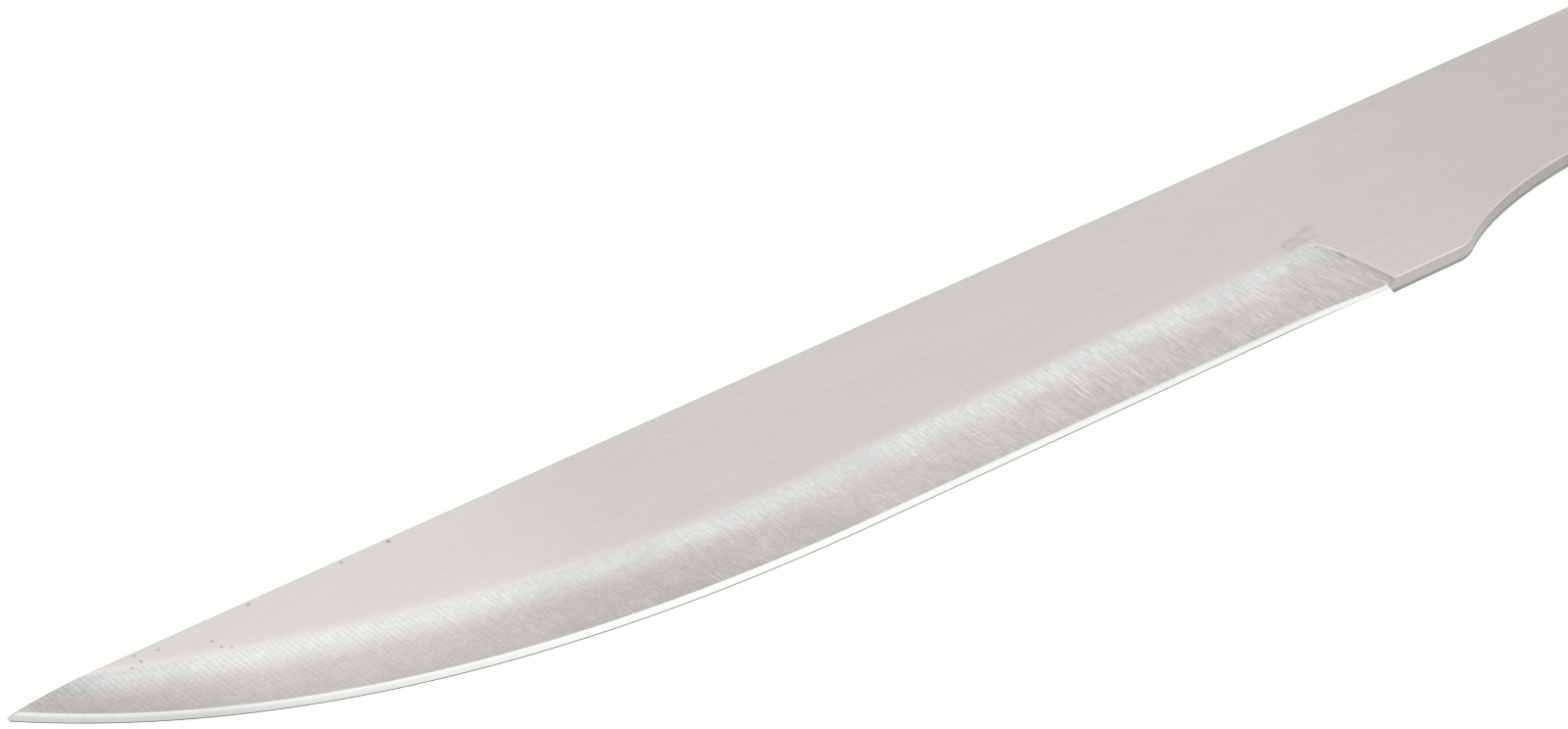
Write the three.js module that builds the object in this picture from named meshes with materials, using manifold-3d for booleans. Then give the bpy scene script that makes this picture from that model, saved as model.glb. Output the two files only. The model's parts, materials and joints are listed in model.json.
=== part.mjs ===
// A barbecue knife: a stamped blade with a full tang, two riveted wooden scales and a lined hanging hole.
// Millimetres. +X runs from the point to the butt, +Y from the edge to the spine, +Z out of the upper face.
// It is drawn from the heel, the front lower corner of the ricasso, on the middle plane of the blade.
import * as THREE from 'three';
import { mergeVertices } from 'three/addons/utils/BufferGeometryUtils.js';
import Module from 'manifold-3d';

// Blade blank, stamped from plate
const STOCK_THICKNESS = 2.2;
const BLADE_LENGTH = 175.8; // heel to point
const BLADE_HEIGHT = 30.5; // underside of the ricasso to the spine
const EDGE_LIFT = 0.4; // sharpening leaves the edge this far above the ricasso's underside
const BELLY_LENGTH = 99; // curved stretch of the edge, back from the point
const BELLY_END_RUN = 31.6; // back from the point to where the edge's end tangent meets the straight edge
const POINT_DROP = 0.5; // the point lies this far below the straight spine
const POINT_DROP_LENGTH = 8; // stretch of the spine that dips to the point

// Ricasso and neck
const RICASSO_LENGTH = 11.6; // heel to the corner under the ricasso, before rounding
const RICASSO_CORNER_RADIUS = 5.3;
const NECK_WIDTH = 22.9;
const NECK_SWEEP_RUN = 11.4; // from that corner to where the sweep's first tangent reaches the neck line
const NECK_SWEEP_LENGTH = 34.8; // from that corner to where the neck runs parallel

// Hollow grind and sharpened edge
const GRIND_HEIGHT = 10.8; // straight edge to the grind line
const GRIND_RUNOUT = 10.5; // back from the point to where the grind line meets the spine
const WHEEL_RADIUS = 83; // grinding wheel that leaves the hollow
const PLUNGE_RADIUS = 3; // rounded corner of that wheel
const PLUNGE_LEAN = 1.6; // the grind's end leans this far towards the point over its height
const EDGE_BEVEL_WIDTH = 0.95; // along the straight edge
const EDGE_BEVEL_POINT_WIDTH = 1.35; // at the point
const EDGE_BEVEL_ANGLE = THREE.MathUtils.degToRad(15); // each side
const EDGE_LAND = 0.1; // thickness left at the very edge

// Handle
const HANDLE_START = 62; // heel to the front of the scales
const HANDLE_LENGTH = 118;
const SCALE_THICKNESS = 8.4;
const SCALE_EDGE_RADIUS = 3;
const PALM_RUN = 40; // front of the scales to the fullest part of the palm swell
const PALM_SWELL = 2.6; // the swell's depth below the neck line
const WAIST_RUN = 76; // front of the scales to the waist behind the palm
const WAIST_SWELL = 1.2; // the waist's depth below the neck line
const BUTT_HOOK = 6; // the butt's lower corner, below the neck line
const BUTT_DROP = 2.4; // the butt's upper corner, below the spine
const BUTT_ROUNDING = 11; // length of the rounded end
const BUTT_DROP_LENGTH = 46; // stretch of the back that eases down to the butt

// Two-piece rivets and the hanging eyelet
const RIVET_NAMES = ['front', 'middle', 'rear'];
const RIVET_FRONT_INSET = 16; // front of the scales to the first rivet
const RIVET_REAR_INSET = 36; // last rivet to the end of the butt
const RIVET_HEAD_DIAMETER = 8;
const RIVET_HEAD_THICKNESS = 1.6;
const RIVET_SLEEVE_DIAMETER = 5;
const RIVET_POST_DIAMETER = 2.8;
const EYELET_INSET = 14; // centre of the hanging hole to the end of the butt
const EYELET_BORE = 7;
const EYELET_WALL = 0.8;
const EYELET_FLANGE_WIDTH = 1.6;
const EYELET_FLANGE_THICKNESS = 0.8;
const FIT_CLEARANCE = 0.2; // beside every pin, sleeve and head
const END_CLEARANCE = 0.4; // between the end of one rivet half and the other half
const HEAD_RECESS = 0.1; // heads and flanges lie this far below the wood

// Fineness of the facets
const CURVE_STEPS = 20;
const STRAIGHT_STEPS = 6;
const HOLLOW_STEPS = 6;
const PLUNGE_STEPS = 6;
const ROUND_SEGMENTS = 32;
const EDGE_ROUND_STEPS = 4;
const CUT_OVERRUN = 2; // cutting solids reach this far past what they cut

// Lines and levels that several pieces share
const SPINE = BLADE_HEIGHT;
const NECK_LINE = SPINE - NECK_WIDTH;
const BELLY_START = -(BLADE_LENGTH - BELLY_LENGTH);
const POINT = new THREE.Vector2(-BLADE_LENGTH, SPINE - POINT_DROP);
const BUTT_END = HANDLE_START + HANDLE_LENGTH;
const BUTT_SHOULDER = BUTT_END - BUTT_ROUNDING;
const BUTT_TOP = SPINE - BUTT_DROP;
const BUTT_BOTTOM = NECK_LINE - BUTT_HOOK;
const FACE_LEVEL = STOCK_THICKNESS / 2;
const OUTER_LEVEL = FACE_LEVEL + SCALE_THICKNESS;
const HEAD_LEVEL = OUTER_LEVEL - HEAD_RECESS;
const BELLY = new THREE.QuadraticBezierCurve(
  new THREE.Vector2(BELLY_START, EDGE_LIFT),
  new THREE.Vector2(POINT.x + BELLY_END_RUN, EDGE_LIFT),
  POINT,
);

const { Manifold, Mesh: ManifoldMesh } = await loadManifold();

async function loadManifold() {
  const library = await Module();
  library.setup();
  return library;
}

// A closed three.js geometry as a solid that can be cut.
function toSolid(geometry) {
  const bare = geometry.clone();
  bare.deleteAttribute('normal');
  bare.deleteAttribute('uv');
  const welded = mergeVertices(bare);
  return new Manifold(new ManifoldMesh({
    numProp: 3,
    vertProperties: new Float32Array(welded.attributes.position.array),
    triVerts: new Uint32Array(welded.index.array),
  }));
}

function toGeometry(solid) {
  const { vertProperties, triVerts } = solid.getMesh();
  const geometry = new THREE.BufferGeometry();
  geometry.setAttribute('position', new THREE.BufferAttribute(vertProperties, 3));
  geometry.setIndex(new THREE.BufferAttribute(triVerts, 1));
  geometry.computeVertexNormals();
  return geometry;
}

// A round bar along Z between two levels, for holes and counterbores.
function bar(x, y, radius, low, high) {
  const geometry = new THREE.CylinderGeometry(radius, radius, high - low, ROUND_SEGMENTS);
  geometry.rotateX(Math.PI / 2);
  geometry.translate(x, y, (low + high) / 2);
  return toSolid(geometry);
}

// A turned piece around Z, from a profile of [radius, level] pairs.
function turned(profile) {
  const points = profile.map(([radius, level]) => new THREE.Vector2(radius, level));
  const geometry = new THREE.LatheGeometry(points, ROUND_SEGMENTS);
  geometry.rotateX(Math.PI / 2);
  return geometry;
}

// Outline of the grip: along the underside from the neck, round the butt and back along the top.
function traceGrip(path) {
  const underside = [
    [HANDLE_START, NECK_LINE],
    [HANDLE_START + PALM_RUN, NECK_LINE - PALM_SWELL],
    [HANDLE_START + WAIST_RUN, NECK_LINE - WAIST_SWELL],
    [BUTT_SHOULDER, BUTT_BOTTOM],
  ];
  path.lineTo(...underside[0]);
  for (let i = 1; i < underside.length; i += 1) {
    easeTo(path, underside[i - 1], underside[i]);
  }
  // A cubic whose two handles lie level reaches three quarters of the way to them.
  const reach = BUTT_SHOULDER + BUTT_ROUNDING * 4 / 3;
  path.bezierCurveTo(reach, BUTT_BOTTOM, reach, BUTT_TOP, BUTT_SHOULDER, BUTT_TOP);
  easeTo(path, [BUTT_SHOULDER, BUTT_TOP], [BUTT_SHOULDER - BUTT_DROP_LENGTH, SPINE]);
  path.lineTo(HANDLE_START, SPINE);
}

// An S-shaped stretch that leaves and arrives along X.
function easeTo(path, [fromX, fromY], [toX, toY]) {
  const middle = (fromX + toX) / 2;
  path.bezierCurveTo(middle, fromY, middle, toY, toX, toY);
}

// Outline of the whole stamped blank, from the heel along the ricasso and neck and back round the blade.
function blankOutline() {
  const corner = new THREE.Vector2(RICASSO_LENGTH, 0);
  const sweepHandle = new THREE.Vector2(RICASSO_LENGTH + NECK_SWEEP_RUN, NECK_LINE);
  const sweepDirection = sweepHandle.clone().sub(corner).normalize();
  const turn = Math.abs(Math.atan2(sweepDirection.y, sweepDirection.x));
  const cornerReach = RICASSO_CORNER_RADIUS * Math.tan(turn / 2);
  const sweepStart = sweepDirection.clone().multiplyScalar(cornerReach).add(corner);

  const outline = new THREE.Shape();
  outline.moveTo(0, 0);
  outline.lineTo(RICASSO_LENGTH - cornerReach, 0);
  outline.quadraticCurveTo(corner.x, corner.y, sweepStart.x, sweepStart.y);
  outline.quadraticCurveTo(sweepHandle.x, sweepHandle.y, RICASSO_LENGTH + NECK_SWEEP_LENGTH, NECK_LINE);
  traceGrip(outline);
  outline.lineTo(POINT.x + POINT_DROP_LENGTH, SPINE);
  outline.quadraticCurveTo(POINT.x + POINT_DROP_LENGTH / 2, SPINE, POINT.x, POINT.y);
  outline.quadraticCurveTo(BELLY.v1.x, BELLY.v1.y, BELLY.v0.x, BELLY.v0.y);
  outline.lineTo(0, EDGE_LIFT);
  return outline;
}

function gripOutline() {
  const outline = new THREE.Shape();
  outline.moveTo(HANDLE_START, SPINE);
  traceGrip(outline);
  return outline;
}

// Height of the grind line: straight along the blade, then a parabola up to the spine.
function grindLine(x) {
  const straight = EDGE_LIFT + GRIND_HEIGHT;
  const share = Math.max(0, BELLY_START - x) / (BLADE_LENGTH - GRIND_RUNOUT + BELLY_START);
  return straight + (SPINE - straight) * share ** 2;
}

// The ground surface across the blade: heights above the edge, with the half thickness left there.
function groundSection(grindHeight, edgeSlope, bevelWidth) {
  const bevelHeight = bevelWidth * Math.hypot(1, edgeSlope);
  const bevelHalf = EDGE_LAND / 2 + bevelWidth * Math.tan(EDGE_BEVEL_ANGLE);
  const hollowHeight = grindHeight - bevelHeight;
  const sagitta = hollowHeight ** 2 / (8 * WHEEL_RADIUS);
  const section = [
    { height: -CUT_OVERRUN, half: EDGE_LAND / 2 - CUT_OVERRUN * Math.tan(EDGE_BEVEL_ANGLE) },
    { height: 0, half: EDGE_LAND / 2 },
  ];
  // The last step runs on past the grind line, out of the plate.
  for (let step = 0; step <= HOLLOW_STEPS + 1; step += 1) {
    const share = step / HOLLOW_STEPS;
    const flat = THREE.MathUtils.lerp(bevelHalf, FACE_LEVEL, share);
    section.push({
      height: bevelHeight + hollowHeight * share,
      half: flat - 4 * sagitta * share * (1 - share),
    });
  }
  return section;
}

// Stations along the blade where the grind is worked out, from past the point to the end at the ricasso.
// lift raises the grind where the wheel's rounded corner leaves the plate, and lean tilts that end.
function grindStations() {
  const tangent = BELLY.getTangent(1);
  const endSlope = tangent.y / tangent.x;
  const stations = [{
    x: POINT.x - CUT_OVERRUN,
    edge: POINT.y - endSlope * CUT_OVERRUN,
    slope: endSlope,
    bevelWidth: EDGE_BEVEL_POINT_WIDTH,
  }];
  for (let step = CURVE_STEPS; step >= 0; step -= 1) {
    const share = step / CURVE_STEPS;
    const edgePoint = BELLY.getPoint(share);
    const along = BELLY.getTangent(share);
    stations.push({
      x: edgePoint.x,
      edge: edgePoint.y,
      slope: along.y / along.x,
      bevelWidth: THREE.MathUtils.lerp(EDGE_BEVEL_WIDTH, EDGE_BEVEL_POINT_WIDTH, share),
    });
  }
  const cornerHeight = Math.min(STOCK_THICKNESS, PLUNGE_RADIUS);
  const edgeDepth = Math.min(FACE_LEVEL - EDGE_LAND / 2, PLUNGE_RADIUS);
  const flank = PLUNGE_RADIUS - Math.sqrt(PLUNGE_RADIUS ** 2 - (PLUNGE_RADIUS - edgeDepth) ** 2);
  const cornerStart = flank - PLUNGE_RADIUS;
  for (let step = 1; step < STRAIGHT_STEPS; step += 1) {
    const x = THREE.MathUtils.lerp(BELLY_START, cornerStart, step / STRAIGHT_STEPS);
    stations.push({ x, edge: EDGE_LIFT, slope: 0, bevelWidth: EDGE_BEVEL_WIDTH });
  }
  const lastAngle = Math.asin(1 - cornerHeight / PLUNGE_RADIUS);
  for (let step = 0; step <= PLUNGE_STEPS; step += 1) {
    const angle = THREE.MathUtils.lerp(Math.PI / 2, lastAngle, step / PLUNGE_STEPS);
    stations.push({
      x: cornerStart + PLUNGE_RADIUS * Math.cos(angle),
      edge: EDGE_LIFT,
      slope: 0,
      bevelWidth: EDGE_BEVEL_WIDTH,
      lift: PLUNGE_RADIUS * (1 - Math.sin(angle)),
      lean: PLUNGE_LEAN / GRIND_HEIGHT,
    });
  }
  return stations;
}

// What one pass of grinding takes off a side: a slab from the ground surface to well above the plate.
function grindCutter(side) {
  const clear = FACE_LEVEL + 2 * STOCK_THICKNESS + CUT_OVERRUN;
  const rows = grindStations().map(({ x, edge, slope, bevelWidth, lift = 0, lean = 0 }) => {
    const section = groundSection(grindLine(x) - edge, slope, bevelWidth);
    const place = ({ height }, level) => [x - lean * height, edge + height, side * level];
    const ground = section.map((spot) => place(spot, spot.half + lift));
    const outside = section.map((spot) => place(spot, clear)).reverse();
    return [...ground, ...outside];
  });
  return toSolid(loft(rows, side > 0));
}

// Closed skin over rings of equally many points, with flat ends.
function loft(rings, forward) {
  const size = rings[0].length;
  const ringIndex = (ring, spot) => ring * size + spot % size;
  const triangles = [];
  const addTriangle = (a, b, c) => triangles.push(...(forward ? [a, b, c] : [a, c, b]));
  for (let ring = 0; ring + 1 < rings.length; ring += 1) {
    for (let spot = 0; spot < size; spot += 1) {
      const [a, b] = [ringIndex(ring, spot), ringIndex(ring, spot + 1)];
      const [c, d] = [ringIndex(ring + 1, spot + 1), ringIndex(ring + 1, spot)];
      addTriangle(a, b, c);
      addTriangle(a, c, d);
    }
  }
  // The first half of a ring faces the second half in reverse, so each end is a strip of quads.
  const last = rings.length - 1;
  for (let spot = 0; spot + 1 < size / 2; spot += 1) {
    const [low, next] = [spot, spot + 1];
    const [high, nextHigh] = [size - 1 - spot, size - 2 - spot];
    addTriangle(ringIndex(0, low), ringIndex(0, nextHigh), ringIndex(0, next));
    addTriangle(ringIndex(0, low), ringIndex(0, high), ringIndex(0, nextHigh));
    addTriangle(ringIndex(last, low), ringIndex(last, next), ringIndex(last, nextHigh));
    addTriangle(ringIndex(last, low), ringIndex(last, nextHigh), ringIndex(last, high));
  }
  const geometry = new THREE.BufferGeometry();
  geometry.setAttribute('position', new THREE.Float32BufferAttribute(rings.flat(2), 3));
  geometry.setIndex(triangles);
  return geometry;
}

// Rivets and eyelet stand on the middle line of the grip, which falls towards the butt.
function gripAxis(x) {
  const front = (SPINE + NECK_LINE) / 2;
  const rear = (BUTT_TOP + BUTT_BOTTOM) / 2;
  return THREE.MathUtils.lerp(front, rear, (x - HANDLE_START) / (BUTT_SHOULDER - HANDLE_START));
}

function rivetPlaces() {
  const first = HANDLE_START + RIVET_FRONT_INSET;
  const last = BUTT_END - RIVET_REAR_INSET;
  return RIVET_NAMES.map((name, index) => {
    const x = THREE.MathUtils.lerp(first, last, index / (RIVET_NAMES.length - 1));
    return { name, x, y: gripAxis(x) };
  });
}

function eyeletPlace() {
  const x = BUTT_END - EYELET_INSET;
  return { x, y: gripAxis(x) };
}

// Every fastener with the radius of its hole and of its head's counterbore, and the counterbore's floor.
function fastenerHoles() {
  const rivets = rivetPlaces().map(({ x, y }) => ({
    x,
    y,
    hole: RIVET_SLEEVE_DIAMETER / 2 + FIT_CLEARANCE,
    counterbore: RIVET_HEAD_DIAMETER / 2 + FIT_CLEARANCE,
    floor: HEAD_LEVEL - RIVET_HEAD_THICKNESS,
  }));
  const tube = EYELET_BORE / 2 + EYELET_WALL;
  const eyelet = {
    ...eyeletPlace(),
    hole: tube + FIT_CLEARANCE,
    counterbore: tube + EYELET_FLANGE_WIDTH + FIT_CLEARANCE,
    floor: HEAD_LEVEL - EYELET_FLANGE_THICKNESS,
  };
  return [...rivets, eyelet];
}

function makeBlade() {
  const plate = new THREE.ExtrudeGeometry(blankOutline(), {
    depth: STOCK_THICKNESS,
    bevelEnabled: false,
    curveSegments: CURVE_STEPS,
  });
  plate.translate(0, 0, -FACE_LEVEL);
  let blade = toSolid(plate).subtract(grindCutter(1)).subtract(grindCutter(-1));
  const reach = FACE_LEVEL + CUT_OVERRUN;
  for (const { x, y, hole } of fastenerHoles()) {
    blade = blade.subtract(bar(x, y, hole, -reach, reach));
  }
  return toGeometry(blade);
}

// One scale: half of a block that is rounded along both outer edges, bored for the fasteners.
function makeScale(side) {
  const block = new THREE.ExtrudeGeometry(gripOutline(), {
    depth: 2 * (OUTER_LEVEL - SCALE_EDGE_RADIUS),
    bevelThickness: SCALE_EDGE_RADIUS,
    bevelSize: SCALE_EDGE_RADIUS,
    bevelOffset: -SCALE_EDGE_RADIUS,
    bevelSegments: EDGE_ROUND_STEPS,
    curveSegments: CURVE_STEPS,
  });
  block.translate(0, 0, SCALE_EDGE_RADIUS - OUTER_LEVEL);
  const waste = new THREE.BoxGeometry(
    HANDLE_LENGTH + 2 * CUT_OVERRUN,
    2 * (BLADE_HEIGHT + BUTT_HOOK + CUT_OVERRUN),
    OUTER_LEVEL + FACE_LEVEL + CUT_OVERRUN,
  );
  const wasteMiddle = (FACE_LEVEL - OUTER_LEVEL - CUT_OVERRUN) / 2;
  waste.translate(HANDLE_START + HANDLE_LENGTH / 2, 0, side * wasteMiddle);
  let scale = toSolid(block).subtract(toSolid(waste));
  const reach = OUTER_LEVEL + CUT_OVERRUN;
  for (const { x, y, hole, counterbore, floor } of fastenerHoles()) {
    const [low, high] = side > 0 ? [floor, reach] : [-reach, -floor];
    scale = scale.subtract(bar(x, y, hole, -reach, reach)).subtract(bar(x, y, counterbore, low, high));
  }
  return toGeometry(scale);
}

// Hollow half of a rivet, its head below and its sleeve reaching up to the other head.
function makeRivetSleeve() {
  const head = RIVET_HEAD_DIAMETER / 2;
  const sleeve = RIVET_SLEEVE_DIAMETER / 2;
  const bore = RIVET_POST_DIAMETER / 2 + FIT_CLEARANCE;
  const seat = RIVET_HEAD_THICKNESS - HEAD_LEVEL;
  const sleeveEnd = -seat - END_CLEARANCE;
  return turned([
    [0, -HEAD_LEVEL],
    [head, -HEAD_LEVEL],
    [head, seat],
    [sleeve, seat],
    [sleeve, sleeveEnd],
    [bore, sleeveEnd],
    [bore, seat],
    [0, seat],
  ]);
}

// Solid half of a rivet, its head above and its post reaching down into the sleeve.
function makeRivetPost() {
  const head = RIVET_HEAD_DIAMETER / 2;
  const post = RIVET_POST_DIAMETER / 2;
  const seat = HEAD_LEVEL - RIVET_HEAD_THICKNESS;
  const postEnd = END_CLEARANCE - seat;
  return turned([
    [0, postEnd],
    [post, postEnd],
    [post, seat],
    [head, seat],
    [head, HEAD_LEVEL],
    [0, HEAD_LEVEL],
  ]);
}

// Flanged tube that lines the hanging hole.
function makeEyelet() {
  const bore = EYELET_BORE / 2;
  const tube = bore + EYELET_WALL;
  const flange = tube + EYELET_FLANGE_WIDTH;
  const seat = HEAD_LEVEL - EYELET_FLANGE_THICKNESS;
  return turned([
    [bore, -HEAD_LEVEL],
    [flange, -HEAD_LEVEL],
    [flange, -seat],
    [tube, -seat],
    [tube, seat],
    [flange, seat],
    [flange, HEAD_LEVEL],
    [bore, HEAD_LEVEL],
    [bore, -HEAD_LEVEL],
  ]);
}

const steel = () => new THREE.MeshStandardMaterial({ color: 0xcfccc8, roughness: 0.35, metalness: 1 });
const wood = () => new THREE.MeshStandardMaterial({ color: 0x6e3f22, roughness: 0.55, metalness: 0 });
const brass = () => new THREE.MeshStandardMaterial({ color: 0xc9a562, roughness: 0.3, metalness: 1 });

function piece(name, geometry, material, { x = 0, y = 0 } = {}) {
  const mesh = new THREE.Mesh(geometry, material);
  mesh.name = name;
  mesh.position.set(x, y, 0);
  return mesh;
}

function makeKnife() {
  const knife = new THREE.Group();
  knife.add(piece('blade', makeBlade(), steel()));
  knife.add(piece('scale_top', makeScale(1), wood()));
  knife.add(piece('scale_bottom', makeScale(-1), wood()));
  for (const place of rivetPlaces()) {
    knife.add(piece(`rivet_${place.name}_sleeve`, makeRivetSleeve(), brass(), place));
    knife.add(piece(`rivet_${place.name}_post`, makeRivetPost(), brass(), place));
  }
  knife.add(piece('hang_eyelet', makeEyelet(), brass(), eyeletPlace()));

  // The knife lies on its lower scale, with the origin under the middle of its box.
  const box = new THREE.Box3().setFromObject(knife);
  const middle = box.getCenter(new THREE.Vector3());
  knife.position.set(-middle.x, -middle.y, -box.min.z);
  return knife;
}

export default makeKnife();
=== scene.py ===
"""A barbecue knife lying on a pale floor: a ground steel blade with riveted wooden scales.

Metres. +X runs from the point to the butt, +Y from the edge to the spine and +Z out of the upper face.
"""

import json
import math

import bpy
import numpy as np
from bpy.props import FloatProperty, FloatVectorProperty, PointerProperty
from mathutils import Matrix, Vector

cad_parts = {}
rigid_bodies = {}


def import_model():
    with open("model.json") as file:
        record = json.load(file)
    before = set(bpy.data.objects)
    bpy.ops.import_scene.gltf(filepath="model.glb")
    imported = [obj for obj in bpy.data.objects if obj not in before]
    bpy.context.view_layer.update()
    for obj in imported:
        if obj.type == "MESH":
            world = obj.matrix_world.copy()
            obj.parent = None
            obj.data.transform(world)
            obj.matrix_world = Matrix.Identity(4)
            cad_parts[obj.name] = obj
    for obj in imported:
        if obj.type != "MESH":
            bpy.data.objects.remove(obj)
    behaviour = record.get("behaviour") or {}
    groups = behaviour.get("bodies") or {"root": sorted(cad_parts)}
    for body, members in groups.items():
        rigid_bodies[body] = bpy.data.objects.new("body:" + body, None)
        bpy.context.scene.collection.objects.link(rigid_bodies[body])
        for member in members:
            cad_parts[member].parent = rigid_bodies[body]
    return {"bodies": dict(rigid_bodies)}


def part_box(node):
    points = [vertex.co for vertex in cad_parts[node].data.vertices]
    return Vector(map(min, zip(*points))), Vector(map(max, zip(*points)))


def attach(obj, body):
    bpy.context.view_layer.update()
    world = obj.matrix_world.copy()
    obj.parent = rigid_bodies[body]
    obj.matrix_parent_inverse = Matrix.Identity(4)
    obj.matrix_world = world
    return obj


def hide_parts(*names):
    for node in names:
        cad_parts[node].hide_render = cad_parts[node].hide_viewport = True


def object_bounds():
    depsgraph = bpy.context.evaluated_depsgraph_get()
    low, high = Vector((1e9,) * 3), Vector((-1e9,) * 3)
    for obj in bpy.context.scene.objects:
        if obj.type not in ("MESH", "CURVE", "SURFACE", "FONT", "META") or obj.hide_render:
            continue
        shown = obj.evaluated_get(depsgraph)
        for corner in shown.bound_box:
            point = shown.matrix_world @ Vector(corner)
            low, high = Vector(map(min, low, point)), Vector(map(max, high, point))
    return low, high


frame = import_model()
CAD_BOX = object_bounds()

bl_info = {
    "name": "Barbecue knife",
    "version": (1, 0, 0),
    "blender": (4, 5, 0),
    "location": "3D View > Sidebar > Knife",
    "description": "Builds a barbecue knife, its finishes and a plain studio around the packed frame",
    "category": "Add Mesh",
}

MM = 0.001
BODY = next(iter(frame["bodies"]))  # nothing on the knife moves, so one body carries every piece

# Places that the frame gives
BLADE_LOW, BLADE_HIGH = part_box("blade")
SCALE_LOW, SCALE_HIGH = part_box("scale_top")
FLOOR_LEVEL = CAD_BOX[0].z
PLATE_MIDDLE = (BLADE_LOW.z + BLADE_HIGH.z) / 2
PLATE_HALF = (BLADE_HIGH.z - BLADE_LOW.z) / 2
SCALE_HALF = SCALE_HIGH.z - PLATE_MIDDLE  # middle plane to the outside of a scale
RIVET_NAMES = ("front", "middle", "rear")

# Fineness of the meshes
BELLY_STEPS = 150
STRAIGHT_STEPS = 66
PLUNGE_STEPS = 44
RICASSO_STEPS = 24
CORNER_STEPS = 16
SWEEP_STEPS = 44
NECK_STEPS = 12
GRIP_STEPS = 28
BUTT_STEPS = 36
BEVEL_COLUMNS = 8
HOLLOW_COLUMNS = 28
FLAT_COLUMNS = 8
ROUNDING_COLUMNS = 5
SCALE_ROUND_STEPS = 12
SCALE_FRONT_STEPS = 8
HEAD_ROUND_STEPS = 4
MOUTH_ROUND_STEPS = 6
TURNED_SEGMENTS = 96
END_CROWDING = 0.7  # how much closer the hollow's columns lie at its ends, from 0 to 1
GRIND_MARGIN = 1.4 * MM  # fine columns reach this far past the grind line
PLUNGE_LEAD = 1.2 * MM  # fine rows start this far ahead of the plunge wall
PLUNGE_RIM = 0.25 * MM  # and end this far behind it, past its rolled rim
PLAIN_GAP = 0.1 * MM  # from the last of them to the first row of the plain plate
FLAT_STRIP = 0.08 * MM  # narrow faces beside a rolled corner keep the shading of a flat face flat
SHARP_ANGLE = math.radians(40)

# Limits near the point and the butt, where the blade is low, as shares
MOST_ROUNDING = 0.25  # of the height, for each rolled corner
MOST_BEVEL = 0.9  # of the height below the rolled corner
MOST_HOLLOW = 0.75  # of what the bevel leaves of that
MOST_PLAIN = 0.5  # of the height, for the columns that go on from the hollow
BUTT_CLOSE = 0.8  # of the last step, because the very end would have no height

# Details of the grind
LEAN_BEND = 1.0 * MM  # height over which the plunge wall bends from upright to leaning
LEAN_START, LEAN_FULL, LEAN_END = -15 * MM, -3 * MM, 8 * MM  # where rows follow that lean, from the heel
WALL_EASE = 0.8  # share of its slope that the wall loses up to the grind line
WALL_EASE_POWER = 4  # how late it loses that
CORNER_POWER = 9  # how tightly the wall's upper corner is rounded
LINE_SLANT = 0.16  # the wheel's lines drift this far towards the butt per length down the hollow
RIPPLE_STEP = 0.72 * MM  # from ripple to ripple in the fore part of the hollow
SCRATCH_DEPTH = 0.5 * MM  # of the scratched places, below the upper face

# Growth of the wood: the heart of the tree, beside the knife, and the width of a ring
HEART_Y, HEART_Z = -38 * MM, -24 * MM
RING_WIDTH = 2.6 * MM

# Stage
FLOOR_GAP = 0.1 * MM
SENSOR_WIDTH = 36.0  # of the camera, in mm

# Finishes of the faces of the blade
SATIN, HONED, SHEARED = range(3)

# Marks on the upper face, in mm: place ahead of the heel and above the underside, then reach along and
# across the blade
POINT_PITS = (
    (150.6, 26.8, 0.36, 0.50), (150.3, 25.4, 0.42, 0.28), (149.4, 24.6, 0.32, 0.24),
    (159.1, 29.9, 0.55, 0.36), (160.4, 28.2, 0.36, 0.28), (156.3, 29.2, 0.42, 0.36),
    (159.0, 28.6, 0.34, 0.42), (143.7, 29.9, 0.55, 0.42), (131.0, 29.9, 0.45, 0.40),
    (124.5, 29.9, 0.50, 0.40),
)
HOLLOW_SCRATCHES = (
    (53.3, 7.2, 0.12, 2.0), (52.7, 6.6, 0.10, 1.6), (43.4, 5.1, 0.12, 2.0), (42.6, 5.4, 0.12, 1.6),
    (37.6, 6.2, 0.12, 2.1), (36.9, 4.9, 0.10, 1.1), (35.7, 4.6, 0.13, 2.1), (34.3, 6.5, 0.10, 1.1),
    (57.9, 6.4, 0.80, 0.11), (57.5, 3.1, 0.70, 0.11), (17.8, 2.1, 0.90, 0.11),
)
HEEL_STAINS = (
    (6.7, 12.8, 0.9, 0.9), (5.0, 13.2, 2.0, 0.9), (2.6, 13.8, 2.2, 1.1), (4.2, 12.2, 3.0, 0.9),
    (6.3, 11.8, 1.4, 0.6),
)


def length(name, description, default):
    """A length that a user may change, given in mm."""
    return FloatProperty(name=name, description=description, default=default * MM, min=0.0,
                         precision=5, subtype="DISTANCE", unit="LENGTH")


def angle(name, description, default):
    """An angle that a user may change, given in degrees."""
    return FloatProperty(name=name, description=description, default=math.radians(default),
                         subtype="ANGLE", unit="ROTATION")


def colour(name, description, default):
    """A linear colour that a user may change."""
    return FloatVectorProperty(name=name, description=description, default=default, size=3,
                               min=0.0, max=1.0, subtype="COLOR")


def factor(name, description, default, most=1.0):
    """A plain number that a user may change."""
    return FloatProperty(name=name, description=description, default=default, min=0.0, max=most,
                         subtype="FACTOR")


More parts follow.
